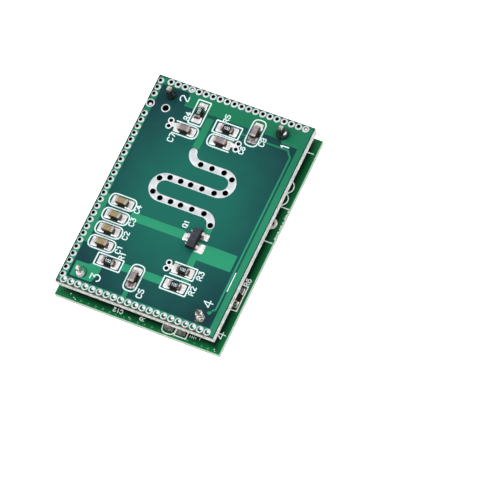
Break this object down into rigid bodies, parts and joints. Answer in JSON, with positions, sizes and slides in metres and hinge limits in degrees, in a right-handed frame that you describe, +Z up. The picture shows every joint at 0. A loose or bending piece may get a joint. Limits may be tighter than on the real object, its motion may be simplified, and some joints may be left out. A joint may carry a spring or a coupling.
{
  "type": "microwave radar sensor module",
  "caption": "Small motion sensing board pair: a radio board with a winding tuning line and a fence of vias, stacked on link pins over a control board with a lead socket underneath.",
  "frame": {"origin": "under the middle of the control board, at the level of the lead socket's rim", "axes": "+Z up out of the radio board's face, +Y along the boards' long side towards link pins 1 and 2, +X along the short side towards the narrow strip of board beside link pins 1 and 4"},
  "size_m": [0.023, 0.0316, 0.0128],
  "materials": {
    "radio_board_mask": "glossy solder mask over glass epoxy",
    "control_board_mask": "glossy solder mask over glass epoxy",
    "tinned_solder": "tinned copper and solder",
    "lead_metal": "matt tin plate",
    "pin_metal": "bright tin plate",
    "capacitor_tan": "fired, satin",
    "capacitor_mauve": "fired, satin",
    "resistor_black": "glazed, satin",
    "case_black": "moulded, fine grain",
    "spacer_black": "moulded",
    "socket_white": "moulded nylon"
  },
  "bodies": {
    "root": {"capacitor_c1": "capacitor_tan", "capacitor_c10": "capacitor_mauve", "capacitor_c11": "capacitor_mauve", "capacitor_c12": "capacitor_mauve", "capacitor_c13": "capacitor_mauve", "capacitor_c14": "capacitor_mauve", "capacitor_c2": "capacitor_tan", "capacitor_c3": "capacitor_tan", "capacitor_c4": "capacitor_tan", "capacitor_c5": "capacitor_mauve", "capacitor_c6": "capacitor_mauve", "capacitor_c7": "capacitor_mauve", "capacitor_c8": "capacitor_mauve", "capacitor_c9": "capacitor_mauve", "control_board": "control_board_mask", "inner_chip_ends": "tinned_solder", "inner_solder_pads": "tinned_solder", "link_pin_1": "pin_metal", "link_pin_2": "pin_metal", "link_pin_3": "pin_metal", "link_pin_4": "pin_metal", "link_spacer_1": "spacer_black", "link_spacer_2": "spacer_black", "link_spacer_3": "spacer_black", "link_spacer_4": "spacer_black", "lower_link_joints": "tinned_solder", "regulator_case": "case_black", "regulator_leads": "lead_metal", "resistor_r1": "resistor_black", "resistor_r10": "resistor_black", "resistor_r11": "resistor_black", "resistor_r2": "resistor_black", "resistor_r3": "resistor_black", "resistor_r4": "resistor_black", "resistor_r5": "resistor_black", "resistor_r6": "resistor_black", "resistor_r7": "resistor_black", "resistor_r8": "resistor_black", "resistor_r9": "resistor_black", "rf_board": "radio_board_mask", "rf_chip_ends": "tinned_solder", "rf_solder_pads": "tinned_solder", "signal_chip_case": "case_black", "signal_chip_leads": "lead_metal", "socket_pin_joints": "tinned_solder", "socket_pins": "pin_metal", "socket_shroud": "socket_white", "transistor_case": "case_black", "transistor_leads": "lead_metal", "tuning_line": "tinned_solder", "under_chip_ends": "tinned_solder", "under_solder_pads": "tinned_solder", "upper_link_joints": "tinned_solder"}
  },
  "joints": []
}
